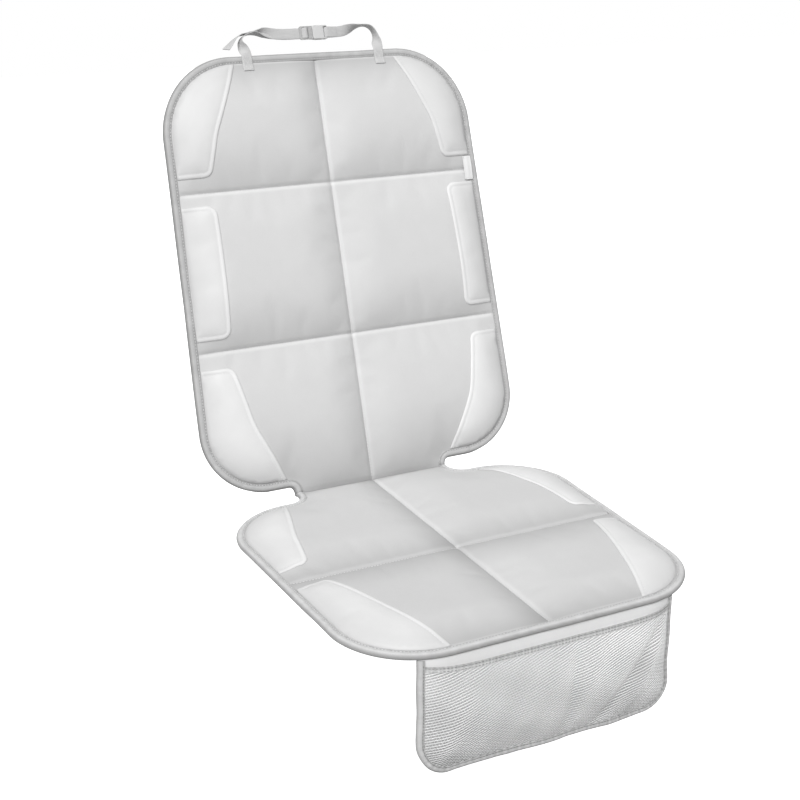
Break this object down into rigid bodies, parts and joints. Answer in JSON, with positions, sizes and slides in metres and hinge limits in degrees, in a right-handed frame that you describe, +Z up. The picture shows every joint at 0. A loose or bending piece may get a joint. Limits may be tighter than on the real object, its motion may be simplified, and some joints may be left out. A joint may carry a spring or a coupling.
{
  "type": "car seat protector mat",
  "caption": "Quilted mat that covers a car seat's back and base under a child seat, with side patches, a headrest strap with a buckle, and a mesh pocket hanging at the front.",
  "frame": {"origin": "middle of the seat panel's flat underside, where it rests on the car seat", "axes": "+Z up, -Y towards the front of the car seat and the mesh pocket, +X to the right of someone facing the mat"},
  "size_m": [0.496, 0.699, 0.7693],
  "materials": {
    "cover": "woven oxford cloth, matt, quilted",
    "foam": "open-cell foam sheet",
    "lining": "non-slip backing with fine dots",
    "binding": "woven binding tape, stitched",
    "patch": "smooth coated cloth, satin",
    "webbing": "flat woven webbing",
    "buckle": "moulded, satin",
    "label": "woven satin label, blank",
    "pocket": "woven oxford cloth, matt",
    "net": "fine open knitted net"
  },
  "bodies": {
    "root": {"back_cover": "cover", "back_foam": "foam", "back_lining": "lining", "back_binding": "binding", "seat_cover": "cover", "seat_foam": "foam", "seat_lining": "lining", "seat_binding": "binding", "back_patch_top_left": "patch", "back_patch_top_right": "patch", "back_patch_middle_left": "patch", "back_patch_middle_right": "patch", "back_patch_lower_left": "patch", "back_patch_lower_right": "patch", "seat_patch_rear_left": "patch", "seat_patch_rear_right": "patch", "seat_patch_front_left": "patch", "seat_patch_front_right": "patch", "side_label": "label", "strap_left": "webbing", "strap_right": "webbing", "buckle_socket": "buckle", "buckle_plug": "buckle", "pocket_back": "pocket", "pocket_mesh": "net", "pocket_hem": "binding", "pocket_binding": "binding"}
  },
  "joints": []
}
